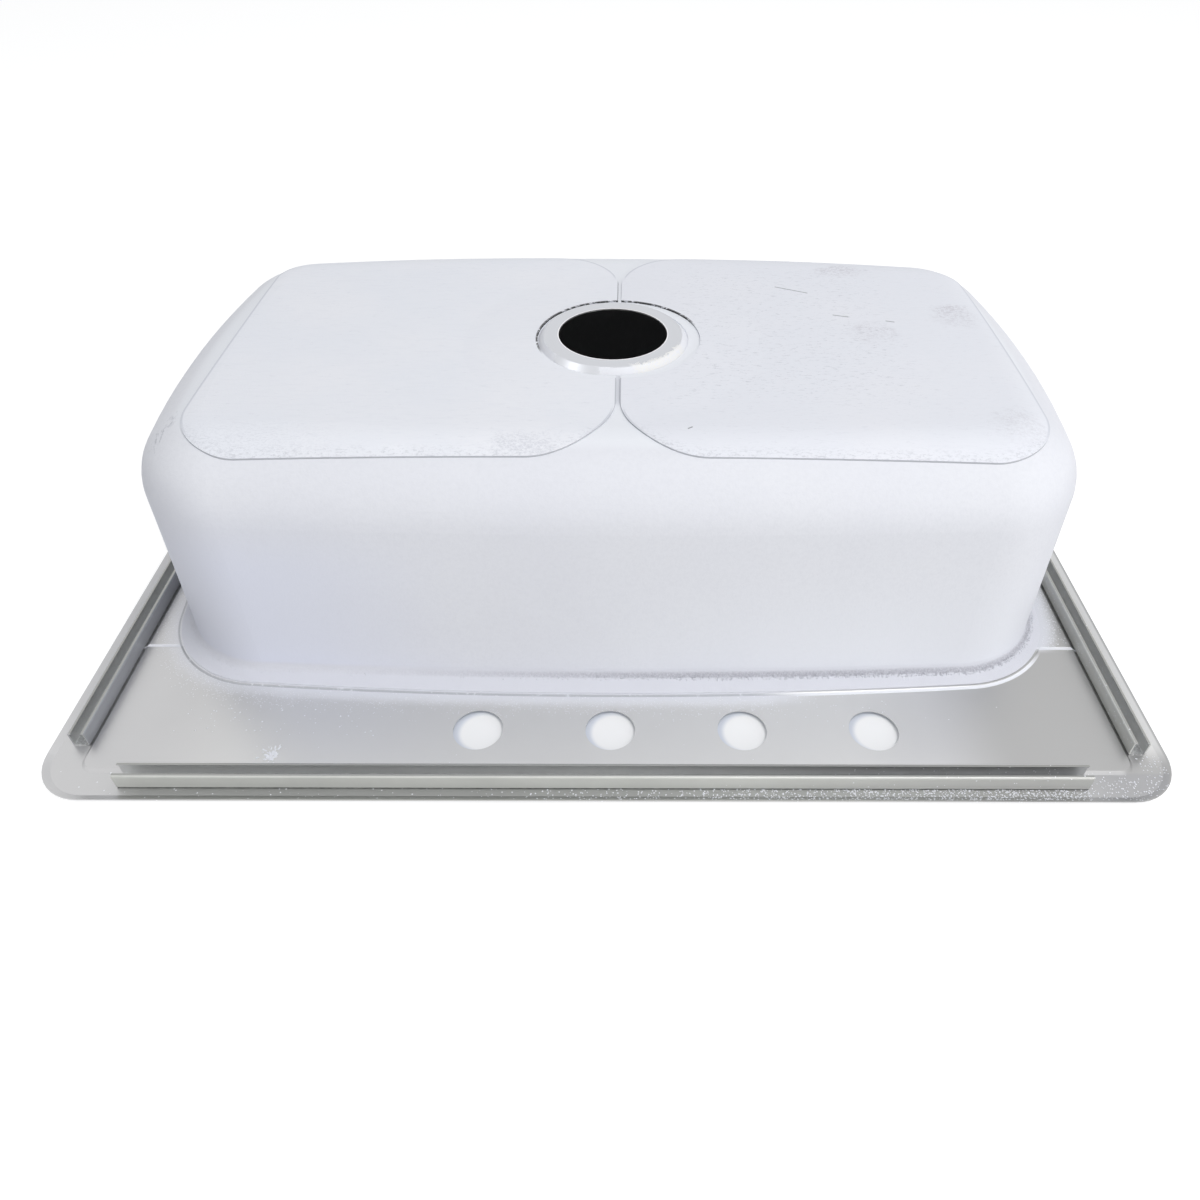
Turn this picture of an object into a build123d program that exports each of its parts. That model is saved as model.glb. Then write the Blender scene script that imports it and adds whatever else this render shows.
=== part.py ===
from build123d import *
import math
import os

# A single-bowl drop-in kitchen sink in stainless sheet, in millimetres.
# It lies upside down on its rim: the face seen in use is down and the underside is up.
# The origin is under the middle of the rim, +Z is up and the tap ledge is toward -Y.

# Sheet and rim
sheet = 1.2
rim_length = 838.2
rim_width = 558.8
rim_corner_radius = 40.0
lip_run = 5.0
lip_rise = 2.4

# Steps pressed into the deck inside the flat outer band
side_band = 27.5
rear_band = 24.3
front_band = 18.2
bead_corner_radius = 12.0
bead_rise = 2.0
surround_rise = 1.0
step_run_per_rise = 1.25
side_step_distance = 150.0
side_step_radius = 3.0

# Bowl mouth: flat ledges left round it and the radius that turns the deck into the walls
rear_ledge = 15.8
seam_rear_bow = 16.7
seam_side_margin = 5.3
seam_corner_radius = 90.5
side_ledge = 10.75
front_ledge = 1.8
rear_wall_distance = 119.2
mouth_radius = 7.0

# Bowl
bowl_depth = 203.2
side_bow = 20.3
rear_bow = 10.6
front_bow = 28.6
bowl_corner_radius = 82.1
wall_draft = 1.7
bottom_radius = 56.0
dish_rise = 2.5
dish_edge_margin = 6.0

# Drain seat, raised here and sunk in use
drain_distance = 311.0
drain_radius = 45.0
seat_width = 12.0
seat_rise = 5.2
seat_slope_run = 5.0
seat_edge_radius = 1.6

# Tap holes along the ledge
tap_hole_radius = 19.05
tap_hole_spacing = 101.6
tap_hole_distance = 63.5
tap_holes_left_of_middle = 1
tap_holes_right_of_middle = 2

# Sprayed undercoat
coat = 0.8
coat_edge_margin = 1.0
coat_drain_margin = 0.5

# Sound pads, bonded over the coat
pad_thickness = 1.2
pad_gap = 3.0
pad_shift = 5.0
pad_side_margin = 44.6
pad_rear_margin = 26.3
pad_front_margin = 42.0
pad_outer_radius = 50.0
pad_inner_radius = 64.0
pad_drain_clearance = 0.3

# Clip rails on the outer band
rail_height = 14.0
rail_width = 12.6
rail_sheet = 1.0
rail_lip = 2.6
rail_bend_radius = 1.4
rail_bead_clearance = 0.4
side_rail_end_distance = 45.8
long_rail_end_distance = 66.0
left_rail_shift = 3.2
right_rail_shift = -3.2
rear_rail_shift = -3.0

# Places that follow from the sizes above
rear_edge = -rim_width / 2
front_edge = rim_width / 2
band_top = sheet
ledge_top = band_top + bead_rise
surround_top = ledge_top + surround_rise
step_taper = math.degrees(math.atan(step_run_per_rise))
step_shift = math.tan(math.radians(90 - step_taper) / 2)
bead_run = bead_rise * step_run_per_rise
surround_run = surround_rise * step_run_per_rise
wall_half_length = rim_length / 2 - side_band - bead_run - surround_run - side_ledge - mouth_radius
wall_rear = rear_edge + rear_wall_distance
wall_front = front_edge - front_band - bead_run - surround_run - front_ledge - mouth_radius
drain_y = rear_edge + drain_distance
bottom_top = bowl_depth + sheet
bottom_edge_top = bottom_top - dish_rise
seat_top = bottom_top + seat_rise
seat_outer_radius = drain_radius + seat_width
seat_foot_radius = seat_outer_radius + seat_slope_run
tap_row_y = rear_edge + tap_hole_distance
wall_lean = bottom_edge_top * math.tan(math.radians(wall_draft))
flat_rear = wall_rear + wall_lean + bottom_radius
flat_front = wall_front - wall_lean - bottom_radius
dish_radius = min(drain_y - flat_rear, flat_front - drain_y) - dish_edge_margin
standing = (Align.CENTER, Align.CENTER, Align.MIN)


# Outlines

def rounded_plan(half_length, rear, front, corner):
    """A rounded rectangle, given by its half length and its rear and front edges."""
    return Pos(0, (rear + front) / 2) * RectangleRounded(2 * half_length, front - rear, corner)


def bowed_plan(half_length, rear, front, corner, behind=rear_bow):
    """A rectangle whose four sides bow outward and whose corners are round."""
    side_x = half_length - side_bow
    rear_y = rear + behind
    front_y = front - front_bow
    middle_y = (rear_y + front_y) / 2
    sides = [
        ThreePointArc((-side_x, rear_y), (0, rear), (side_x, rear_y)),
        ThreePointArc((side_x, rear_y), (half_length, middle_y), (side_x, front_y)),
        ThreePointArc((side_x, front_y), (0, front), (-side_x, front_y)),
        ThreePointArc((-side_x, front_y), (-half_length, middle_y), (-side_x, rear_y)),
    ]
    return fillet(make_face(sides).vertices(), corner)


def rim_plan(inset):
    """The whole sink seen from above."""
    return rounded_plan(
        rim_length / 2 - inset, rear_edge + inset, front_edge - inset, rim_corner_radius - inset
    )


def bead_plan(inset):
    """The raised panel inside the flat outer band."""
    half_length = rim_length / 2 - side_band - inset
    rear = rear_edge + rear_band + inset
    front = front_edge - front_band - inset
    return rounded_plan(half_length, rear, front, bead_corner_radius - inset)


def seam_plan(inset):
    """The step round the bowl mouth, closer to the mouth at the sides than at the rear."""
    half_length = wall_half_length + mouth_radius + seam_side_margin - inset
    rear = wall_rear - mouth_radius - rear_ledge + inset
    front = wall_front + mouth_radius + rear_ledge - inset
    return bowed_plan(half_length, rear, front, seam_corner_radius - inset, seam_rear_bow)


def surround_plan(inset):
    """The higher panel round the bowl: narrow behind it, full width beside and before it."""
    behind = seam_plan(inset)
    step_y = rear_edge + side_step_distance + inset
    beside = Pos(0, (step_y + front_edge) / 2) * Rectangle(rim_length, front_edge - step_y)
    plan = bead_plan(bead_run + inset) & (behind + beside)
    side_x = rim_length / 2 - side_band - bead_run - inset
    on_step = [v for v in plan.vertices() if abs(v.Y - step_y) < 0.01]
    turns = [v for v in on_step if abs(v.X) < side_x - 0.01]
    return fillet(turns, side_step_radius + inset)


# Pressed sheet, as the solid under its upper face less the solid under its lower face

def bowl_block(offset):
    """The bowl as a solid, its surface moved outward by offset from the sheet's outer face."""
    foot = bowed_plan(
        wall_half_length + offset, wall_rear - offset, wall_front + offset, bowl_corner_radius + offset
    )
    edge_top = bottom_edge_top + offset
    walls = extrude(foot, edge_top, taper=wall_draft)
    block = fillet(walls.faces().sort_by(Axis.Z)[-1].edges(), bottom_radius + offset)
    dish = Pos(0, drain_y, edge_top) * Cone(dish_radius, seat_foot_radius, dish_rise, align=standing)
    return block + dish


def seat_block(offset):
    """The drain seat as a solid cone with a rounded top edge."""
    shift = offset * math.tan(math.atan2(seat_rise, seat_slope_run) / 2)
    top = seat_top + offset
    foot = bottom_top - seat_rise
    foot_radius = seat_outer_radius + shift + (top - foot) * seat_slope_run / seat_rise
    cone = Pos(0, drain_y, foot) * Cone(foot_radius, seat_outer_radius + shift, top - foot, align=standing)
    top_edge = cone.edges().filter_by(GeomType.CIRCLE).sort_by(Axis.Z)[-1]
    return fillet(top_edge, seat_edge_radius + offset)


def raised_block(offset):
    """All that rises inside the outer band, with the mouth radius round the bowl."""
    shift = -offset * step_shift
    deck_z = surround_top + offset
    bead = Pos(0, 0, band_top + offset) * extrude(bead_plan(shift), bead_rise, taper=step_taper)
    surround = Pos(0, 0, ledge_top + offset) * extrude(
        surround_plan(shift), surround_rise, taper=step_taper
    )
    block = bead + surround + bowl_block(offset)
    deck = [f for f in block.faces().filter_by(Plane.XY) if abs(f.center().Z - deck_z) < 0.01][0]
    block = fillet(deck.inner_wires()[0].edges(), mouth_radius - offset)
    return block + seat_block(offset)


def rim_sheet():
    """The flat outer band, with its edge bent down to bite on the countertop in use."""
    flare = loft([rim_plan(lip_run), Pos(0, 0, lip_rise) * rim_plan(0)], ruled=True)
    edge = Pos(0, 0, lip_rise) * extrude(rim_plan(0), sheet)
    return flare + edge - Pos(0, 0, sheet) * flare


def holes():
    """The drain opening and the tap holes, as cutting cylinders."""
    drain = Pos(0, drain_y, bowl_depth - bottom_radius) * Cylinder(
        drain_radius, bottom_radius + 2 * seat_rise, align=standing
    )
    taps = [
        Pos(i * tap_hole_spacing, tap_row_y, -sheet) * Cylinder(
            tap_hole_radius, 2 * sheet + ledge_top, align=standing
        )
        for i in range(-tap_holes_left_of_middle, tap_holes_right_of_middle + 1)
    ]
    return [drain] + taps


def sink_pressing(outer_block):
    return rim_sheet() + outer_block - raised_block(-sheet) - holes()


# Sound pads, on the bowl's bottom left and right of the drain

def pad_plan(side):
    """One pad's outline; side is -1 for the left pad and 1 for the right one."""
    outer_x = wall_half_length - wall_lean - pad_side_margin
    inner_x = pad_gap / 2
    rear = wall_rear + wall_lean + pad_rear_margin
    front = wall_front - wall_lean - pad_front_margin
    middle = Pos(side * (outer_x + inner_x) / 2, (rear + front) / 2)
    face = middle * Rectangle(outer_x - inner_x, front - rear)
    inner_corners = [v for v in face.vertices() if abs(v.X) < inner_x + 0.01]
    face = fillet(inner_corners, pad_inner_radius)
    outer_corners = [v for v in face.vertices() if abs(v.X) > outer_x - 0.01]
    face = fillet(outer_corners, pad_outer_radius)
    drain_room = Circle(seat_foot_radius + pad_shift + pad_drain_clearance)
    return Pos(pad_shift, 0) * (face - Pos(0, drain_y) * drain_room)


def pad_column(side):
    """The space over one pad's outline."""
    foot = bottom_top - bottom_radius
    return Pos(0, 0, foot) * extrude(pad_plan(side), bottom_radius + seat_rise)


def sound_pad(side, layer):
    return layer & pad_column(side)


# Undercoat, on the bowl's outside and the ledge round its mouth

def undercoat(outer_block):
    deck_z = surround_top + coat
    ledge = seam_plan(surround_run + coat_edge_margin)
    ledge = ledge & bead_plan(bead_run + surround_run + coat_edge_margin)
    block = extrude(ledge, deck_z) + bowl_block(coat)
    deck = [f for f in block.faces().filter_by(Plane.XY) if abs(f.center().Z - deck_z) < 0.01][0]
    block = fillet(deck.inner_wires()[0].edges(), mouth_radius - coat)
    skin = block - outer_block - Box(2 * rim_length, 2 * rim_width, 2 * surround_top)
    seat_room = Pos(0, drain_y) * Cylinder(
        seat_foot_radius + coat_drain_margin, 2 * bottom_top, align=standing
    )
    return skin - seat_room


# Clip rails, welded to the band to hold the clips that pull the sink down

def rail_profile():
    """A channel with inturned lips, its foot on the origin and its mouth up."""
    base = (Align.CENTER, Align.MIN)
    outside = Rectangle(rail_width, rail_height, align=base)
    outside = fillet(outside.vertices(), rail_bend_radius)
    inside = Pos(0, rail_sheet) * Rectangle(
        rail_width - 2 * rail_sheet, rail_height - 2 * rail_sheet, align=base
    )
    inside = fillet(inside.vertices(), rail_bend_radius - rail_sheet)
    slot = Pos(0, rail_height / 2) * Rectangle(rail_width - 2 * rail_lip, rail_height, align=base)
    return outside - inside - slot


def rail_along_x(centre_y, shift):
    length = rim_length - 2 * long_rail_end_distance
    start = Plane((shift - length / 2, centre_y, band_top), x_dir=(0, 1, 0), z_dir=(1, 0, 0))
    return extrude(start * rail_profile(), length)


def rail_along_y(centre_x, shift):
    length = rim_width - 2 * side_rail_end_distance
    start = Plane((centre_x, shift - length / 2, band_top), x_dir=(-1, 0, 0), z_dir=(0, 1, 0))
    return extrude(start * rail_profile(), length)


def build():
    outer_block = raised_block(0)
    pad_layer = bowl_block(coat + pad_thickness) - bowl_block(coat)
    from_bead = rail_bead_clearance + rail_width / 2
    side_rail_x = rim_length / 2 - side_band + from_bead
    return {
        "sink_pressing": sink_pressing(outer_block),
        "undercoat": undercoat(outer_block),
        "left_sound_pad": sound_pad(-1, pad_layer),
        "right_sound_pad": sound_pad(1, pad_layer),
        "rear_clip_rail": rail_along_x(rear_edge + rear_band - from_bead, rear_rail_shift),
        "front_clip_rail": rail_along_x(front_edge - front_band + from_bead, 0),
        "left_clip_rail": rail_along_y(-side_rail_x, left_rail_shift),
        "right_clip_rail": rail_along_y(side_rail_x, right_rail_shift),
    }


os.makedirs("parts", exist_ok=True)
for name, shape in build().items():
    export_step(shape, f"parts/{name}.step")
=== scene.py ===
import math
import random
from collections import namedtuple

import bpy
from mathutils import Matrix, Vector
from mathutils.bvhtree import BVHTree


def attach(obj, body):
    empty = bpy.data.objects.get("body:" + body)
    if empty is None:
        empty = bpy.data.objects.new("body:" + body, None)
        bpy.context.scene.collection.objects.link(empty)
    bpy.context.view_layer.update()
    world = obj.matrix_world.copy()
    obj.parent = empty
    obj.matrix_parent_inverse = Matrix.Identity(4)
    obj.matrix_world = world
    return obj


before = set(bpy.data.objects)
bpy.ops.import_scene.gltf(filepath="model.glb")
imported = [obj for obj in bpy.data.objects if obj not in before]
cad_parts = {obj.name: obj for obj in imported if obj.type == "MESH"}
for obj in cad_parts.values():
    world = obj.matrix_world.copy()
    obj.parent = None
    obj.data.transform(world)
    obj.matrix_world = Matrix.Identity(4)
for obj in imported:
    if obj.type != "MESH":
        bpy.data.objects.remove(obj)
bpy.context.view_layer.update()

# A drop-in kitchen sink lying rim-down, seen from above its tap side. All lengths are in metres.
scene = bpy.context.scene
scene.view_settings.view_transform = "Standard"
chance = random.Random(7)

# Camera, from the vanishing lines and known sizes of the sink
photo_size = 1200
focal_pixels = 898.3
axis_pixel = (633.4, 555.9)
camera_place = Vector((0.0121, -0.6505, 0.5570))
camera_pitch = math.radians(40.92)
camera_yaw = math.radians(-0.57)
camera_roll = math.radians(-0.61)

# Places on the sink, as in the CAD source
drain_y = 0.0316
drain_radius = 0.045
rail_foot = 0.0012
rear_edge = -0.2794
rear_rail_outside = -0.2681
rear_rail_y = -0.2618
front_rail_y = 0.2679
side_rail_x = 0.3983
rail_top = 0.0152
side_step_y = -0.1294
tap_row_y = -0.2159
tap_spacing = 0.1016
gap_x = 0.005
gap_half = 0.0015
pad_drain_cut = 0.0673
pad_outer = 0.3195
pad_rear = -0.1279
pad_front = 0.2007
pad_inner_corner = 0.064
pad_outer_corner = 0.050

# The step round the bowl's mouth and the foot of the bowl's walls, as bowed outlines
Outline = namedtuple("Outline", "half rear front corner side_bow rear_bow front_bow")
seam = Outline(0.3824, -0.1830, 0.27145, 0.0905, 0.0203, 0.0167, 0.0286)
wall_foot = Outline(0.3709, -0.1610, 0.24945, 0.0829, 0.0203, 0.0106, 0.0286)

# Tape residue on the right pad: middle, half length and width, turn and strength
tape_residue = (
    ((0.2125, 0.1700), (0.0250, 0.0130), -0.04, 0.75),
    ((0.2970, 0.0780), (0.0190, 0.0230), -0.08, 0.75),
    ((0.2200, 0.0430), (0.0200, 0.0220), 0.00, 0.50),
    ((0.2990, -0.0970), (0.0200, 0.0240), 0.20, 0.36),
)

# Scratches on the right pad: start and end
scratches = (
    ((0.1475, 0.1351), (0.1751, 0.1227)),
    ((0.1912, 0.0787), (0.2037, 0.0751)),
    ((0.2352, 0.0679), (0.2418, 0.0661)),
    ((0.0560, -0.1030), (0.0590, -0.1010)),
)
scratch_half_width = 0.0002

# Spread and rise of the rings of one drop of spray, from its sunk foot up, as shares of its size
drop_rings = ((1.0, -0.15), (0.82, 0.55), (0.42, 0.92))

# The splash on the tap ledge, and the floor
splash_place = (-0.2520, -0.2445)
splash_spread = 0.0055
floor_reach = 30.0
floor_drop = 0.0003
pale_spot_shift = 0.003


def make_camera():
    data = bpy.data.cameras.new("camera")
    data.sensor_width = 36
    data.lens = focal_pixels / photo_size * data.sensor_width
    data.shift_x = (photo_size / 2 - axis_pixel[0]) / photo_size
    data.shift_y = (axis_pixel[1] - photo_size / 2) / photo_size
    data.clip_start = 0.01
    camera = bpy.data.objects.new("camera", data)
    scene.collection.objects.link(camera)
    turn = (
        Matrix.Rotation(camera_yaw, 4, "Z")
        @ Matrix.Rotation(math.pi / 2 - camera_pitch, 4, "X")
        @ Matrix.Rotation(-camera_roll, 4, "Z")
    )
    camera.matrix_world = Matrix.Translation(camera_place) @ turn
    scene.camera = camera


make_camera()


# Node helpers

class Value:
    """A number that a material works out at each point, written as plain arithmetic."""

    def __init__(self, nodes, socket):
        self.nodes = nodes
        self.socket = socket

    def _made(self, operation, first, second=None):
        return self.nodes.math(operation, first, second)

    def __add__(self, other):
        return self._made("ADD", self, other)

    def __radd__(self, other):
        return self._made("ADD", other, self)

    def __sub__(self, other):
        return self._made("SUBTRACT", self, other)

    def __rsub__(self, other):
        return self._made("SUBTRACT", other, self)

    def __mul__(self, other):
        return self._made("MULTIPLY", self, other)

    def __truediv__(self, other):
        return self._made("DIVIDE", self, other)

    def __abs__(self):
        return self._made("ABSOLUTE", self)

    def root(self):
        return self._made("SQRT", self)

    def larger(self, other):
        return self._made("MAXIMUM", self, other)

    def smaller(self, other):
        return self._made("MINIMUM", self, other)

    def above(self, other):
        return self._made("GREATER_THAN", self, other)

    def ramp(self, low, high):
        """0 below low and 1 above high, smooth between. With low above high it runs the other way."""
        node = self.nodes.add("ShaderNodeMapRange", interpolation_type="SMOOTHSTEP")
        self.nodes.feed(node.inputs["Value"], self)
        falls = low > high
        node.inputs["From Min"].default_value = high if falls else low
        node.inputs["From Max"].default_value = low if falls else high
        node.inputs["To Min"].default_value = 1.0 if falls else 0.0
        node.inputs["To Max"].default_value = 0.0 if falls else 1.0
        return Value(self.nodes, node.outputs["Result"])


class Nodes:
    """A short way to write a material's nodes: each call adds a node and returns its output."""

    def __init__(self, tree):
        self.tree = tree
        self.tree.nodes.clear()

    def add(self, kind, **settings):
        node = self.tree.nodes.new(kind)
        for name, value in settings.items():
            setattr(node, name, value)
        return node

    def feed(self, socket, value):
        if isinstance(value, Value):
            value = value.socket
        if isinstance(value, bpy.types.NodeSocket):
            self.tree.links.new(value, socket)
        elif value is not None:
            socket.default_value = value

    def math(self, operation, first, second=None):
        node = self.add("ShaderNodeMath", operation=operation)
        self.feed(node.inputs[0], first)
        self.feed(node.inputs[1], second)
        return Value(self, node.outputs[0])

    def mix(self, factor, first, second):
        node = self.add("ShaderNodeMix", data_type="RGBA")
        self.feed(node.inputs["Factor"], factor)
        self.feed(node.inputs[6], first)
        self.feed(node.inputs[7], second)
        return node.outputs[2]

    def place(self):
        return self.add("ShaderNodeTexCoord").outputs["Object"]

    def axes(self, vector):
        node = self.add("ShaderNodeSeparateXYZ")
        self.feed(node.inputs[0], vector)
        return [Value(self, output) for output in node.outputs]

    def scaled(self, vector, scale):
        node = self.add("ShaderNodeMapping")
        self.feed(node.inputs["Vector"], vector)
        node.inputs["Scale"].default_value = scale
        return node.outputs["Vector"]

    def noise(self, vector, scale, detail=3.0, roughness=0.55):
        node = self.add("ShaderNodeTexNoise")
        self.feed(node.inputs["Vector"], vector)
        node.inputs["Scale"].default_value = scale
        node.inputs["Detail"].default_value = detail
        node.inputs["Roughness"].default_value = roughness
        return Value(self, node.outputs["Fac"])

    def specks(self, vector, scale, size, share):
        """Round specks. share is the part of the cells that hold one, size its radius in cells."""
        node = self.add("ShaderNodeTexVoronoi", feature="F1")
        self.feed(node.inputs["Vector"], vector)
        node.inputs["Scale"].default_value = scale
        draw = self.axes(node.outputs["Color"])[0]
        held = self.math("GREATER_THAN", share, draw)
        return Value(self, node.outputs["Distance"]).ramp(size, size * 0.6) * held

    def patch(self, vector, middle, half, turn=0.0, rag=0.0, soft=0.002):
        """1 inside a box seen from above, given by its half length and width, with ragged edges."""
        node = self.add("ShaderNodeMapping", vector_type="TEXTURE")
        self.feed(node.inputs["Vector"], vector)
        node.inputs["Location"].default_value = (middle[0], middle[1], 0)
        node.inputs["Rotation"].default_value = (0, 0, turn)
        x, y, _ = self.axes(node.outputs["Vector"])
        over = (abs(x) - half[0]).larger(abs(y) - half[1])
        if rag:
            over = over + (self.noise(vector, 150.0, 4.0, 0.7) - 0.5) * rag
        return over.ramp(soft, 0.0)

    def facing_up(self):
        """The z of the true surface normal: 1 on a face that looks up."""
        return self.axes(self.add("ShaderNodeNewGeometry").outputs["True Normal"])[2]

    def bump(self, height, distance, strength=1.0, under=None):
        node = self.add("ShaderNodeBump")
        node.inputs["Strength"].default_value = strength
        node.inputs["Distance"].default_value = distance
        self.feed(node.inputs["Height"], height)
        self.feed(node.inputs["Normal"], under)
        return node.outputs["Normal"]

    def surface(self, **values):
        shader = self.add("ShaderNodeBsdfPrincipled")
        for name, value in values.items():
            self.feed(shader.inputs[name.replace("_", " ")], value)
        output = self.add("ShaderNodeOutputMaterial")
        self.tree.links.new(shader.outputs[0], output.inputs["Surface"])


def new_material(name):
    material = bpy.data.materials.new(name)
    material.use_nodes = True
    return material, Nodes(material.node_tree)


def srgb(red, green, blue):
    """A colour written as in a picture, 0 to 255, as the linear colour that nodes take."""
    def linear(value):
        value /= 255
        return value / 12.92 if value <= 0.04045 else ((value + 0.055) / 1.055) ** 2.4
    return (linear(red), linear(green), linear(blue), 1.0)


# Distances on the sink, for numbers and for material values alike

def larger(first, second):
    return first.larger(second) if isinstance(first, Value) else max(first, second)


def smaller(first, second):
    return first.smaller(second) if isinstance(first, Value) else min(first, second)


def length(first, second):
    square = first * first + second * second
    return square.root() if isinstance(square, Value) else math.sqrt(square)


def above(first, second):
    return first.above(second) if isinstance(first, Value) else float(first > second)


def side_circle(outline):
    """Centre and radius of the arc that bows the right side."""
    rear = outline.rear + outline.rear_bow
    front = outline.front - outline.front_bow
    half_chord = (front - rear) / 2
    radius = (half_chord ** 2 + outline.side_bow ** 2) / (2 * outline.side_bow)
    return Vector((outline.half - radius, (rear + front) / 2)), radius


def end_circle(outline, toward):
    """The same for the rear edge, toward -1, or the front edge, toward 1."""
    bow = outline.front_bow if toward > 0 else outline.rear_bow
    edge = outline.front if toward > 0 else outline.rear
    radius = ((outline.half - outline.side_bow) ** 2 + bow ** 2) / (2 * bow)
    return Vector((0, edge - toward * radius)), radius


def corner_middle(outline, toward):
    """Where the round corner between a side and an end is centred."""
    side, side_radius = side_circle(outline)
    end, end_radius = end_circle(outline, toward)
    from_side = side_radius - outline.corner
    from_end = end_radius - outline.corner
    apart = end - side
    along = (from_side ** 2 - from_end ** 2 + apart.length_squared) / (2 * apart.length)
    across = math.sqrt(from_side ** 2 - along ** 2)
    way = apart.normalized()
    return side + way * along + Vector((-way.y, way.x)) * across * toward


def beyond(outline, x, y):
    """How far a place lies outside a bowed outline with round corners. Inside it is negative."""
    side, side_radius = side_circle(outline)
    right = abs(x)
    out = length(right - side.x, y - side.y) - side_radius
    for toward in (-1, 1):
        end, end_radius = end_circle(outline, toward)
        out = larger(out, length(right, y - end.y) - end_radius)
    for toward in (-1, 1):
        middle = corner_middle(outline, toward)
        end, _ = end_circle(outline, toward)
        from_end = (middle - end).normalized()
        from_side = (middle - side).normalized()
        dx, dy = right - middle.x, y - middle.y
        before_end = (dx * from_end.y - dy * from_end.x) * toward
        past_side = (dy * from_side.x - dx * from_side.y) * toward
        in_corner = above(before_end, 0.0) * above(past_side, 0.0)
        out = out + in_corner * (length(dx, dy) - outline.corner - out)
    return out


def beyond_pad(x, y):
    """The same for the outline of both sound pads. Negative on a pad."""
    across = abs(x - gap_x)
    middle = ((gap_half + pad_outer) / 2, (pad_rear + pad_front) / 2)
    half = ((pad_outer - gap_half) / 2, (pad_front - pad_rear) / 2)
    corner = pad_inner_corner + above(across, middle[0]) * (pad_outer_corner - pad_inner_corner)
    past_x = abs(across - middle[0]) - half[0] + corner
    past_y = abs(y - middle[1]) - half[1] + corner
    round_part = length(larger(past_x, 0.0), larger(past_y, 0.0))
    return round_part + smaller(larger(past_x, past_y), 0.0) - corner


# Materials

spray_white = srgb(233, 234, 239)
overspray_grey = srgb(212, 214, 221)


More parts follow.
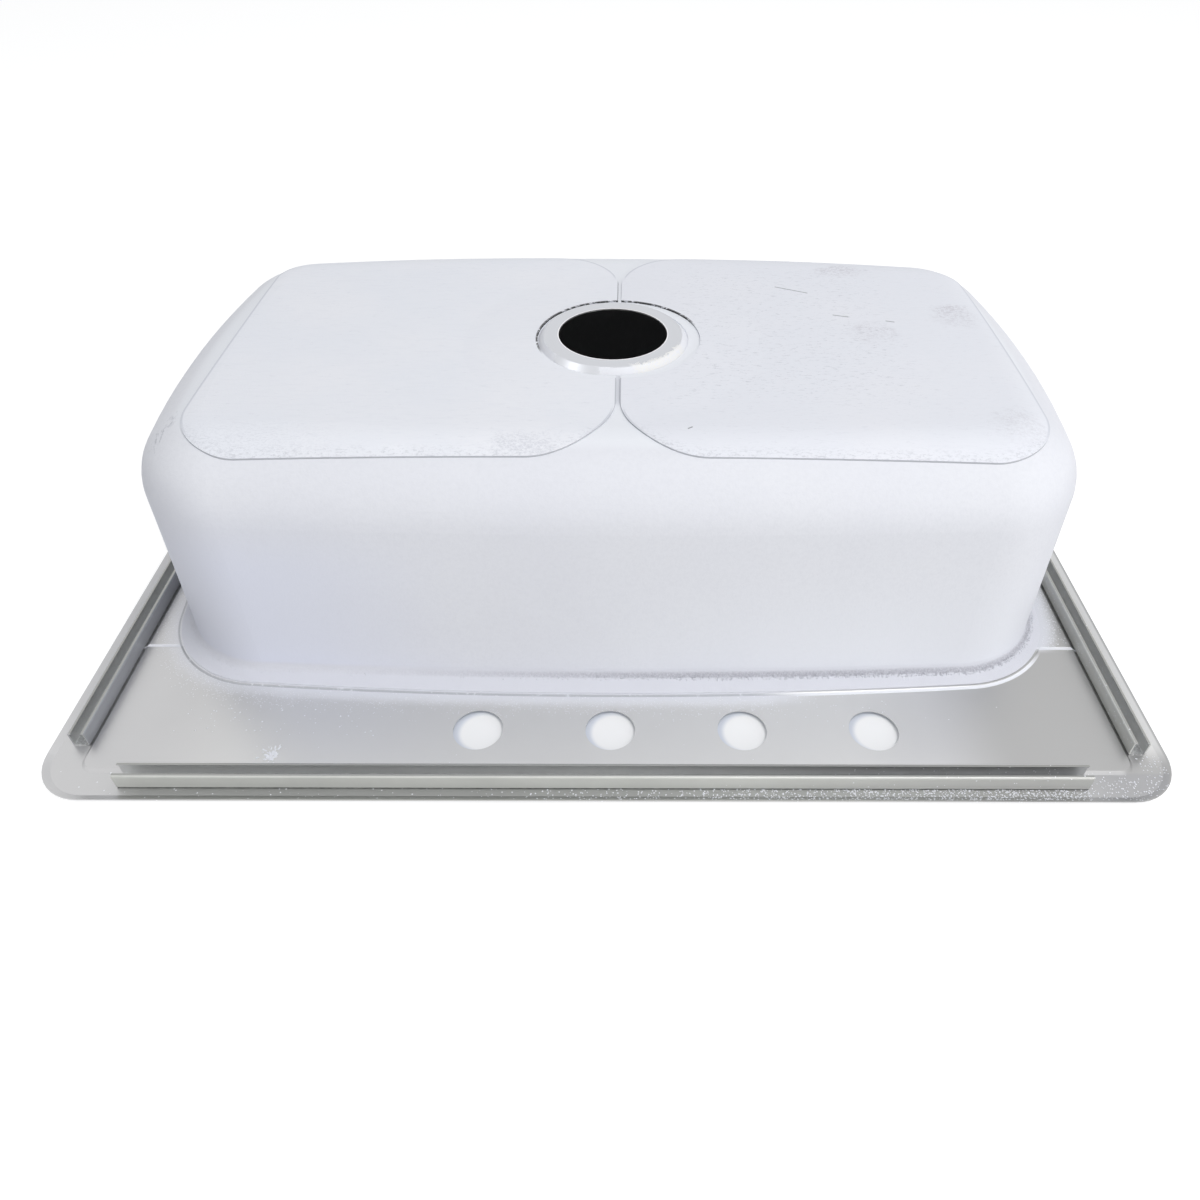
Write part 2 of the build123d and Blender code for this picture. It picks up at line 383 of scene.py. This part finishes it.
def deck_steel():
    """Cold-rolled sheet with fine grain, white overspray near the bowl and a part-coated drain seat,
    with painted highlights, painted sheen and painted shade.
    """
    material, n = new_material("deck_steel")
    place = n.place()
    x, y, z = n.axes(place)
    wander = n.noise(place, 110.0, 5.0, 0.7) - 0.5
    grain = n.noise(n.scaled(place, (40, 1800, 1800)), 1.0, 4.0, 0.6)
    cloud = n.noise(place, 5.0, 3.0, 0.5)
    on_deck = z.ramp(0.006, 0.004)

    # Overspray fades out from the seam; it is missing behind the bowl's right half
    outside = beyond(seam, x, y)
    from_seam = outside + wander * 0.007
    left_and_middle = x.ramp(0.170, 0.110)
    right_side = x.ramp(0.30, 0.33) * y.ramp(side_step_y - 0.006, side_step_y + 0.004)
    reach = left_and_middle.larger(right_side) * on_deck
    film = from_seam.ramp(0.0150, -0.0020) * (0.38 + x.ramp(-0.33, -0.20) * 0.42) * reach
    # Painted shade: a dark broken line in the crease at the seam, at the left and middle
    crease_shade = abs(outside + 0.0004).ramp(0.0012, 0.0004) * left_and_middle * on_deck
    crease_shade = crease_shade * (wander + 0.5).ramp(0.30, 0.45)
    dust = n.specks(place, 900.0, 0.42, from_seam.ramp(0.026, 0.002) * 0.5 * reach)

    # Painted highlight: the riser behind the bowl's right half and the side step across the rim are
    # painted white, as if they caught the light
    on_tap_ledge = on_deck * y.ramp(side_step_y, side_step_y - 0.020)
    riser_highlight = abs(outside - 0.0004).ramp(0.0016, 0.0010) * x.ramp(0.125, 0.165) * on_tap_ledge
    side_step = abs(y - side_step_y).ramp(0.0014, 0.0008) * on_deck * abs(x).ramp(0.403, 0.401)
    riser_highlight = riser_highlight.larger(side_step)

    # Spray that fell on the outer band, thickest at the right
    low = z.ramp(0.0034, 0.0026)
    on_band = low * y.ramp(-0.2525, -0.2560)
    right_band = on_band * x.ramp(-0.05, 0.34)
    right_corner = on_band * x.ramp(0.325, 0.352) * 0.12
    band_dust = n.specks(place, 620.0, 0.42, right_band * 0.12 + on_band * 0.02)

    # The drain seat: its slope is coated except at the near left, with flakes at the near right
    from_drain = length(x, y - drain_y)
    on_seat = z.ramp(0.18, 0.19)
    bare = length(x + 0.030, y + 0.0205) + wander * 0.012
    slope_coat = (from_drain + wander * 0.0012).ramp(0.0570, 0.0576) * bare.ramp(0.019, 0.025)
    flake_zone = length(x - 0.041, y + 0.0105).ramp(0.031, 0.024)
    ragged = wander * 0.016 + (n.noise(place, 420.0, 4.0, 0.8) - 0.5) * 0.012
    flakes = (from_drain + ragged).ramp(0.0546, 0.0552) * flake_zone * on_seat
    flakes = flakes * n.noise(place, 330.0, 4.0, 0.8).ramp(0.40, 0.44)
    seat_coat = slope_coat.larger(flakes) * on_seat
    # Painted highlight: a near-white line on the drain's cut edge
    cut_edge_highlight = from_drain.ramp(drain_radius + 0.0010, drain_radius + 0.0004) * on_seat

    sheet = n.mix(cloud.ramp(0.3, 0.7), srgb(196, 196, 197), srgb(203, 203, 204))
    # Painted sheen: the middle of the deck is lighter. Painted shade: the left end of the outer band,
    # the deck's right and the band's right corner are darker
    sheet = n.mix(x.ramp(-0.35, -0.25) * x.ramp(0.27, 0.17) * on_deck, sheet, srgb(215, 215, 214))
    sheet = n.mix(on_band * x.ramp(-0.37, -0.33), sheet, srgb(177, 178, 178))
    sheet = n.mix(x.ramp(0.24, 0.31) * on_deck * 0.85, sheet, srgb(172, 172, 172))
    sheet = n.mix(x.ramp(0.33, 0.38) * on_band * 0.7, sheet, srgb(150, 150, 152))
    # Painted light: the right rim is lighter
    right_rim_light = x.ramp(0.402, 0.408) * low * y.ramp(-0.250, -0.225)
    sheet = n.mix(right_rim_light, sheet, srgb(220, 220, 220))
    sheet = n.mix(on_seat, sheet, srgb(206, 208, 213))
    sheet = n.mix(cut_edge_highlight, sheet, srgb(250, 250, 252))
    # This mask holds the spray and also the painted highlight on the riser and side step
    coat_and_highlight = film.larger(dust).larger(band_dust).larger(seat_coat).larger(right_corner).larger(riser_highlight)
    tone = n.mix(film, n.mix(coat_and_highlight, sheet, spray_white), overspray_grey)
    tone = n.mix(flakes * n.noise(place, 800.0, 3.0, 0.7).ramp(0.30, 0.55), tone, srgb(237, 236, 234))
    tone = n.mix(crease_shade * 0.5, tone, srgb(122, 124, 131))
    rough = 0.30 + grain * 0.12 + coat_and_highlight * 0.25
    normal = n.bump(grain, 0.00003, 0.35)
    normal = n.bump(n.noise(place, 900.0, 2.0, 0.6) * coat_and_highlight, 0.0002, 0.6, normal)
    n.surface(Base_Color=tone, Metallic=1.0 - coat_and_highlight, Roughness=rough, Normal=normal)
    return material


def coat_paint():
    """Sprayed white undercoat with an orange-peel surface, thin and gritty round the mouth, with
    painted shade round the mouth, in the corners, on the lower left and in the gap, and painted light
    on the lower right.
    """
    material, n = new_material("sprayed_undercoat")
    place = n.place()
    x, y, z = n.axes(place)
    peel = n.noise(place, 650.0, 3.0, 0.6)
    mottle = n.noise(place, 300.0, 3.0, 0.6)
    cloud = n.noise(place, 6.0, 3.0, 0.5)
    white = n.mix(cloud.ramp(0.3, 0.7), srgb(228, 229, 235), srgb(231, 232, 237))
    white = n.mix(mottle.ramp(0.35, 0.75) * 0.35, white, srgb(221, 222, 228))

    # The coat round the mouth: the curve painted a little darker as painted shade, a line at its foot
    # darkened by grit and painted shade, and a thin ledge
    mouth = z.ramp(0.013, 0.008)
    ledge = z.ramp(0.0056, 0.0052)
    from_foot = beyond(wall_foot, x, y)
    line = z.ramp(0.0050, 0.0056) * z.ramp(0.0098, 0.0062)
    line = line * (0.15 + x.ramp(-0.25, 0.10) * 0.85) * from_foot.ramp(-0.002, 0.001)
    grit_and_shade = n.noise(place, 620.0, 4.0, 0.8).ramp(0.28, 0.66)
    # Painted light: the lower right of the walls is lighter
    low_right_light = x.ramp(-0.15, 0.25) * z.ramp(0.13, 0.03)
    white = n.mix(low_right_light * 0.7, white, srgb(240, 242, 248))
    # Painted shade: the lower left of the walls is bluish
    low_left_shade = x.ramp(-0.08, -0.30) * z.ramp(0.18, 0.10)
    white = n.mix(low_left_shade * 0.8, white, srgb(226, 229, 243))
    # Painted shade: the walls are darker at the right and left ends of the bowl
    corners = x.ramp(0.31, 0.37).larger(x.ramp(-0.27, -0.33) * 0.5) * z.ramp(0.185, 0.165)
    white = n.mix(corners * 0.8, white, srgb(212, 213, 220))
    tone = n.mix(mouth, white, srgb(220, 221, 228))
    tone = n.mix(ledge, tone, srgb(218, 219, 226))
    tone = n.mix(line * grit_and_shade, tone, srgb(184, 184, 193))

    # Scuffs at the left shoulder and a few rubbed spots on the near shoulder
    shoulder = n.patch(place, (-0.322, -0.087), (0.004, 0.022), -0.55, 0.010, 0.003)
    rubbed = n.noise(n.scaled(place, (260, 120, 260)), 1.0, 4.0, 0.75).ramp(0.50, 0.62)
    tone = n.mix(shoulder * z.ramp(0.17, 0.18) * rubbed * 0.6, tone, srgb(176, 178, 186))
    sparse = n.noise(n.scaled(place, (90, 90, 300)), 1.0, 4.0, 0.8).ramp(0.70, 0.76)
    tone = n.mix(sparse * z.ramp(0.12, 0.19) * 0.3, tone, srgb(196, 198, 206))

    # The bottom between the pads, with painted shade in the gap before the drain
    tone = n.mix(z.ramp(0.197, 0.201), tone, srgb(236, 238, 243))
    gap_end = pad_rear + pad_inner_corner
    along_gap = y.ramp(gap_end - 0.012, gap_end) * y.ramp(drain_y, drain_y - 0.01)
    gap_shade = abs(x - gap_x).ramp(0.0022, 0.0014) * z.ramp(0.19, 0.20) * along_gap
    tone = n.mix(gap_shade * 0.5, tone, srgb(200, 202, 210))

    normal = n.bump(peel, 0.00022, 0.5)
    normal = n.bump(grit_and_shade * (line + mouth * 0.25), 0.0006, 0.7, normal)
    n.surface(Base_Color=tone, Roughness=0.62, Normal=normal)
    return material


def pad_surface(name, marks):
    """Damping sheet sprayed white over a fine print of its backing, with a grey cut edge and painted
    shade along the gap, the outline and round the drain.
    """
    material, n = new_material(name)
    place = n.place()
    x, y, _ = n.axes(place)
    peel = n.noise(place, 520.0, 3.0, 0.6)
    cloud = n.noise(place, 9.0, 3.0, 0.5)
    streak = n.noise(n.scaled(place, (70, 420, 420)), 1.0, 4.0, 0.7)
    white = n.mix(cloud.ramp(0.35, 0.68), srgb(235, 237, 243), srgb(238, 239, 244))
    white = n.mix(streak.ramp(0.45, 0.75) * 0.4, white, srgb(228, 230, 237))
    white = marks(n, place, white)

    # A faint line just inside the outline, painted shade of the edge's step with some dirt, and scuffs
    # along the near edge
    inward = beyond_pad(x, y)
    shown = y.ramp(-0.118, -0.090) * abs(x - gap_x).ramp(0.0030, 0.0060)
    white = n.mix(inward.ramp(-0.0022, -0.0010) * shown * 0.5, white, srgb(186, 189, 199))
    scuff = n.noise(n.scaled(place, (300, 620, 620)), 1.0, 4.0, 0.8).ramp(0.50, 0.62)
    near_edge = inward.ramp(-0.011, -0.002) * y.ramp(-0.090, -0.112)
    white = n.mix(near_edge * scuff * 0.45, white, srgb(188, 190, 197))

    # The cut edge is grey. Behind the drain, a black broken line on the edge and the top is painted
    # shadow of the gap round the drain seat
    top = n.facing_up().ramp(0.25, 0.55)
    from_cut = length(x - gap_x, y - drain_y) - pad_drain_cut
    far_or_left = (y - x * 0.4).ramp(drain_y - 0.010, drain_y + 0.010)
    breaks = n.noise(place, 130.0, 4.0, 0.8).ramp(0.40, 0.46)
    ring = from_cut.ramp(0.0019, 0.0012) * far_or_left * breaks
    edge = n.mix(ring, srgb(184, 186, 192), srgb(30, 30, 33))
    white = n.mix(ring * 0.9, white, srgb(30, 30, 33))

    # Painted shade along the gap: grey lines on both sides before the drain, darker on the left behind
    # it
    from_gap = abs(x - gap_x) - gap_half
    before = y.ramp(drain_y, drain_y - 0.01)
    behind_left = y.ramp(drain_y, drain_y + 0.01) * x.ramp(gap_x + 0.001, gap_x - 0.001)
    white = n.mix(from_gap.ramp(0.0011, 0.0005) * before * 0.6, white, srgb(150, 152, 161))
    white = n.mix(from_gap.ramp(0.0009, 0.0004) * behind_left * 0.8, white, srgb(80, 82, 88))
    tone = n.mix(top, edge, white)
    normal = n.bump(peel, 0.0002, 0.5)
    normal = n.bump(streak, 0.0002, 0.3, normal)
    n.surface(Base_Color=tone, Roughness=0.62, Normal=normal)
    return material


def left_marks(n, place, white):
    """Light rubbing on the left pad, with a worn patch on its near edge."""
    x, y, _ = n.axes(place)
    rub = n.noise(n.scaled(place, (110, 360, 360)), 1.0, 5.0, 0.8)
    fine = n.noise(n.scaled(place, (420, 700, 700)), 1.0, 4.0, 0.8)
    white = n.mix(rub.ramp(0.58, 0.70) * 0.28, white, srgb(200, 202, 211))
    near = y.ramp(-0.085, -0.122) * x.ramp(-0.16, -0.26)
    white = n.mix(near * fine.ramp(0.48, 0.62) * 0.35, white, srgb(196, 198, 206))
    worn = n.patch(place, (-0.060, -0.1190), (0.014, 0.002), 0.0, 0.034, 0.012)
    return n.mix(worn * fine.ramp(0.42, 0.58) * 0.40, white, srgb(186, 188, 198))


def right_marks(n, place, white):
    """Tape residue, scuffs, flecks and scratches on the right pad."""
    x, y, _ = n.axes(place)
    blot = n.noise(place, 380.0, 5.0, 0.85)
    fleck = n.noise(n.scaled(place, (150, 480, 480)), 1.0, 5.0, 0.8)
    white = n.mix(0.4, white, srgb(228, 229, 236))

    # Flecks, thickest right of the drain
    field = n.patch(place, (0.145, 0.055), (0.065, 0.090), 0.0, 0.060, 0.050)
    white = n.mix(fleck.ramp(0.55, 0.65) * (0.14 + field * 0.42), white, srgb(186, 188, 196))

    # Residue where tape was pulled off, strongest along its far edge
    torn = (n.noise(place, 85.0, 4.0, 0.75) - 0.5) * 1.6
    print_left = blot.ramp(0.46, 0.58) * 0.7 + fleck.ramp(0.50, 0.62) * 0.3
    for middle, half, turn, depth in tape_residue:
        zone = n.patch(place, middle, half, turn, 0.024, 0.006)
        from_middle = length((x - middle[0]) / half[0], (y - middle[1]) / half[1])
        zone = zone * (from_middle + torn).ramp(1.30, 0.55)
        far_edge = y.ramp(middle[1] - half[1], middle[1] + half[1]) * 0.6 + 0.4
        white = n.mix(zone * far_edge * print_left * depth, white, srgb(186, 182, 190))

    for start, end in scratches:
        middle = ((start[0] + end[0]) / 2, (start[1] + end[1]) / 2)
        run = (end[0] - start[0], end[1] - start[1])
        half = (math.hypot(*run) / 2, scratch_half_width)
        cut = n.patch(place, middle, half, math.atan2(run[1], run[0]), 0.0, 0.0006)
        white = n.mix(cut * 0.8, white, srgb(96, 97, 104))
    return white


def rail_steel():
    """Rolled channel: grain along the rail, dull inside, with painted shade inside the rear rail, on
    the outside at the right and far left and on the lip's top, and a painted contact shadow at its
    foot.
    """
    material, n = new_material("rail_steel")
    place = n.place()
    x, y, z = n.axes(place)
    grain = n.noise(n.scaled(place, (60, 60, 1500)), 1.0, 4.0, 0.6)
    cloud = n.noise(place, 20.0, 4.0, 0.6)
    outside = n.mix(cloud.ramp(0.3, 0.7), srgb(201, 202, 197), srgb(208, 209, 204))
    from_middle = abs(abs(x) - side_rail_x).smaller(abs(y - rear_rail_y)).smaller(abs(y - front_rail_y))
    inside = from_middle.ramp(0.0058, 0.0052)
    in_rear_rail = y.ramp(-0.252, -0.2555)
    # Painted shade: the rear rail's inside is darker towards the right
    slot = n.mix(x.ramp(-0.05, 0.25) * in_rear_rail, srgb(218, 219, 219), srgb(176, 177, 178))
    # Painted shade: the rear rail's front wall is darker towards the right, and the rails' outside is
    # darker at the far left
    front_wall = y.ramp(rear_rail_outside + 0.0012, rear_rail_outside + 0.0006)
    outside = n.mix(x.ramp(0.02, 0.28) * front_wall * 0.8, outside, srgb(178, 178, 175))
    outside = n.mix(x.ramp(-0.385, -0.390) * 0.9, outside, srgb(156, 158, 163))
    tone = n.mix(inside, outside, slot)
    # Painted shade on the top of the lip, dimming its highlight
    lip_top_shade = n.facing_up().ramp(0.85, 0.97) * z.ramp(rail_top - 0.0006, rail_top - 0.0002)
    tone = n.mix(lip_top_shade * 0.85, tone, srgb(150, 151, 148))
    # Painted contact shadow along the rail's foot, broken up by noise
    foot = z.ramp(rail_foot + 0.0016, rail_foot + 0.0004)
    shadow_breaks = n.noise(place, 420.0, 3.0, 0.7).ramp(0.42, 0.55)
    tone = n.mix(foot * shadow_breaks * 0.6, tone, srgb(70, 71, 72))
    dust = n.specks(place, 600.0, 0.40, x.ramp(0.0, 0.36) * 0.05)
    tone = n.mix(dust, tone, spray_white)
    dull = (1.0 - inside) * 0.62
    rough = 0.30 + grain * 0.15 + dust * 0.3
    normal = n.bump(grain, 0.00003, 0.4)
    n.surface(Base_Color=tone, Metallic=1.0 - dull.larger(dust), Roughness=rough, Normal=normal)
    return material


coat_finish = coat_paint()
rail_finish = rail_steel()
finishes = {
    "sink_pressing": deck_steel(),
    "undercoat": coat_finish,
    "left_sound_pad": pad_surface("left_pad", left_marks),
    "right_sound_pad": pad_surface("right_pad", right_marks),
}
for name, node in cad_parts.items():
    node.data.materials.clear()
    node.data.materials.append(finishes.get(name, rail_finish))


# Drops of spray that stand on the steel and on the coat

Drop = namedtuple("Drop", "place up radius height stretch turn")


def surface_tree(node):
    mesh = node.data
    corners = [vertex.co for vertex in mesh.vertices]
    return BVHTree.FromPolygons(corners, [polygon.vertices for polygon in mesh.polygons])


trees = {name: surface_tree(node) for name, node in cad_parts.items()}


def top_at(x, y):
    """The node that is highest over a place, with the point and the normal there."""
    best = (None, None, None)
    for name, tree in trees.items():
        point, up, _, _ = tree.ray_cast(Vector((x, y, 1.0)), Vector((0, 0, -1)))
        if point and (best[0] is None or point.z > best[1].z):
            best = (name, point, up)
    return best


def between(low, high):
    return chance.uniform(low, high)


def drops_on(node_name, places, sizes, flat=0.45, stretch=1.3):
    """A drop at each place that the named node carries, with sizes drawn between the two given."""
    drops = []
    for x, y in places:
        name, point, up = top_at(x, y)
        radius = between(*sizes)
        long = between(1.0, stretch)
        turn = between(0, math.pi)
        if name == node_name:
            drops.append(Drop(point, up, radius, radius * flat, long, turn))
    return drops


def make_drops(name, drops, finish, sides=7):
    """One mesh of low domes, each sunk a little into what carries it."""
    corners = []
    faces = []
    for drop in drops:
        frame_turn = drop.up.to_track_quat("Z", "Y").to_matrix() @ Matrix.Rotation(drop.turn, 3, "Z")
        first = len(corners)
        for ring, (spread, rise) in enumerate(drop_rings):
            for side in range(sides):
                angle = 2 * math.pi * (side + ring / 2) / sides
                local = Vector((
                    math.cos(angle) * spread * drop.radius * drop.stretch,
                    math.sin(angle) * spread * drop.radius,
                    rise * drop.height,
                ))
                corners.append(drop.place + frame_turn @ local)
        corners.append(drop.place + frame_turn @ Vector((0, 0, drop.height)))
        for ring in range(len(drop_rings) - 1):
            for side in range(sides):
                low = first + ring * sides
                high = low + sides
                after = (side + 1) % sides
                faces.append((low + side, low + after, high + after, high + side))
        last_ring = first + (len(drop_rings) - 1) * sides
        for side in range(sides):
            faces.append((last_ring + side, last_ring + (side + 1) % sides, last_ring + sides))
        faces.append(tuple(first + side for side in reversed(range(sides))))
    mesh = bpy.data.meshes.new(name)
    mesh.from_pydata(corners, [], faces)
    mesh.shade_smooth()
    mesh.materials.append(finish)
    piece = bpy.data.objects.new(name, mesh)
    scene.collection.objects.link(piece)
    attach(piece, "root")


def drop_paint():
    """Dried spray: white with a faint grain."""
    material, n = new_material("dried_spray")
    place = n.place()
    grain = n.noise(place, 1500.0, 3.0, 0.6)
    tone = n.mix(grain.ramp(0.35, 0.65), srgb(226, 228, 235), srgb(242, 243, 247))
    n.surface(Base_Color=tone, Roughness=0.5, Normal=n.bump(grain, 0.0001, 0.4))
    return material


def places_in(count, x_range, y_range):
    return [(between(*x_range), between(*y_range)) for _ in range(count)]


def places_beyond_seam(count, x_range, y_range, spread):
    """Places just outside the seam, fewer the farther out."""
    found = []
    while len(found) < count:
        x, y = between(*x_range), between(*y_range)
        out = beyond(seam, x, y)
        if 0.0005 < out < 4 * spread and chance.random() < math.exp(-out / spread):
            found.append((x, y))
    return found


def thicker_to_the_right(count, x_range, y_range):
    start, end = x_range
    return [
        (start + (end - start) * math.sqrt(chance.random()), between(*y_range)) for _ in range(count)
    ]


def make_deck_specks():
    behind_bowl = places_beyond_seam(260, (-0.35, 0.22), (-0.225, -0.10), 0.008)
    beside_bowl = places_beyond_seam(110, (0.36, 0.388), (-0.125, 0.02), 0.006)
    left_deck = places_in(55, (-0.33, -0.18), (-0.222, -0.190))
    open_deck = places_in(30, (-0.34, 0.34), (-0.250, -0.190))
    seen_ones = [
        (-0.289, -0.200), (-0.297, -0.196), (-0.231, -0.197), (-0.238, -0.203), (-0.269, -0.209)
    ]
    drops = drops_on("sink_pressing", behind_bowl + beside_bowl + open_deck, (0.0002, 0.0005))
    drops += drops_on("sink_pressing", left_deck, (0.0003, 0.0007))
    drops += drops_on("sink_pressing", seen_ones, (0.0006, 0.0008))
    make_drops("deck_specks", drops, drop_finish)


def make_band_specks():
    front = thicker_to_the_right(1000, (-0.10, 0.350), (rear_edge + 0.0014, rear_rail_outside))
    corner = places_in(110, (0.352, 0.4155), (-0.2780, -0.2565))
    corner += places_in(40, (0.393, 0.4155), (-0.2565, -0.2380))
    left = places_in(30, (-0.36, 0.05), (rear_edge + 0.0014, rear_rail_outside))
    drops = drops_on("sink_pressing", front + corner, (0.0003, 0.0007))
    drops += drops_on("sink_pressing", left, (0.0002, 0.0004))
    make_drops("band_specks", drops, drop_finish)


def make_splash():
    """A feathered splash on the left of the tap ledge."""
    drops = []
    for _ in range(70):
        away = abs(chance.gauss(0, splash_spread))
        fan = chance.gauss(math.pi / 2, 0.9)
        x = splash_place[0] + math.cos(fan) * away
        y = splash_place[1] + math.sin(fan) * away * 1.5
        name, point, up = top_at(x, y)
        radius = between(0.0003, 0.0010)
        if name == "sink_pressing":
            long = between(1.2, 3.0)
            drops.append(Drop(point, up, radius, radius * 0.4, long, fan + between(-0.3, 0.3)))
    make_drops("coat_splash", drops, drop_finish)


def make_grit():
    """Coarse spray that gathered where the bowl's mouth curve meets the ledge."""
    places = []
    while len(places) < 900:
        x, y = between(-0.36, 0.39), between(-0.178, -0.02)
        out = beyond(wall_foot, x, y)
        wanted = 0.05 + 0.95 * min(max((x + 0.1) / 0.3, 0), 1)
        if 0.0028 < out < 0.0066 and chance.random() < wanted:
            places.append((x, y))
    make_drops("coat_grit", drops_on("undercoat", places, (0.0003, 0.0007), 0.6), coat_finish)


drop_finish = drop_paint()
make_deck_specks()
make_band_specks()
make_splash()
make_grit()


# Floor, light and background

def light_path_mask(n):
    """1 for what the camera sees, directly or in a reflection or through glass."""
    path = n.add("ShaderNodeLightPath").outputs
    seen = n.math("MAXIMUM", path["Is Camera Ray"], path["Is Glossy Ray"])
    return seen.larger(path["Is Transmission Ray"])


def make_floor():
    """A pale floor that shows as white where it is lit and keeps the sink's shadow, with painted shade
    under the deck and under the bowl.
    """
    mesh = bpy.data.meshes.new("floor")
    ends = ((-1, -1), (1, -1), (1, 1), (-1, 1))
    corners = [(floor_reach * right, floor_reach * far, 0) for right, far in ends]
    mesh.from_pydata(corners, [], [(0, 1, 2, 3)])
    floor = bpy.data.objects.new("floor", mesh)
    scene.collection.objects.link(floor)
    floor.location.z = -floor_drop
    material, n = new_material("floor")
    x, y, _ = n.axes(n.place())
    seen = light_path_mask(n)
    # Painted shade: under the bowl the floor is near black with a faint glow, and under the deck it
    # glows less and bluish
    under_bowl = abs(x).ramp(0.375, 0.36) * abs(y - 0.04).ramp(0.205, 0.195)
    under_deck = abs(x).ramp(0.40, 0.39) * abs(y).ramp(0.27, 0.26)
    glow = seen * (1.0 - under_bowl)
    emission = n.add("ShaderNodeEmission")
    n.feed(emission.inputs["Color"], n.mix(under_deck, (1, 1, 1, 1), (0.92, 0.95, 1, 1)))
    strength = glow * (0.80 - under_deck * 0.70) + seen * under_bowl * 0.010
    n.feed(emission.inputs["Strength"], strength)
    plain = n.add("ShaderNodeBsdfDiffuse")

    # A pale spot under each tap hole, a little to the right, so that a bluish crescent of painted shade
    # shows beside it
    spots = [tap_spacing * number + pale_spot_shift for number in (-1, 0, 1, 2)]
    from_hole = length(x - spots[0], y - tap_row_y)
    for spot in spots[1:]:
        from_hole = smaller(from_hole, length(x - spot, y - tap_row_y))
    hole_crescent_shade = n.mix(from_hole.ramp(0.0150, 0.0200), (0.8, 0.8, 0.8, 1), (0.56, 0.59, 0.66, 1))
    seen_grey_and_hole_shade = n.mix(under_deck, (0.34, 0.34, 0.34, 1), hole_crescent_shade)
    lit = n.mix(glow, (0.8, 0.8, 0.8, 1), seen_grey_and_hole_shade)
    n.feed(plain.inputs["Color"], n.mix(under_bowl, lit, (0.01, 0.01, 0.01, 1)))
    both = n.add("ShaderNodeAddShader")
    n.feed(both.inputs[0], emission.outputs[0])
    n.feed(both.inputs[1], plain.outputs[0])
    output = n.add("ShaderNodeOutputMaterial")
    n.feed(output.inputs["Surface"], both.outputs[0])
    mesh.materials.append(material)


def make_world():
    world = bpy.data.worlds.new("studio")
    scene.world = world
    world.use_nodes = True
    n = Nodes(world.node_tree)
    background = n.add("ShaderNodeBackground")
    seen = light_path_mask(n)
    n.feed(background.inputs["Color"], n.mix(seen, (0.95, 0.97, 1, 1), (1, 1, 1, 1)))
    n.feed(background.inputs["Strength"], 0.44 + seen * 0.56)
    output = n.add("ShaderNodeOutputWorld")
    n.feed(output.inputs["Surface"], background.outputs[0])


def make_lamp(name, place, size, power, gloss=1.0, target=(0, 0, 0.1)):
    data = bpy.data.lights.new(name, "AREA")
    data.shape = "DISK"
    data.size = size
    data.energy = power
    data.specular_factor = gloss
    lamp = bpy.data.objects.new(name, data)
    scene.collection.objects.link(lamp)
    lamp.location = place
    lamp.rotation_mode = "QUATERNION"
    lamp.rotation_quaternion = (Vector(target) - Vector(place)).to_track_quat("-Z", "Y")


make_floor()
make_world()
make_lamp("key", (1.2, -0.7, 3.4), size=2.2, power=58, gloss=0.35)
make_lamp("fill", (1.7, -2.7, 0.5), size=2.4, power=39, gloss=0.25)
make_lamp("left_glint", (-2.3, -0.6, 2.6), size=0.5, power=5)
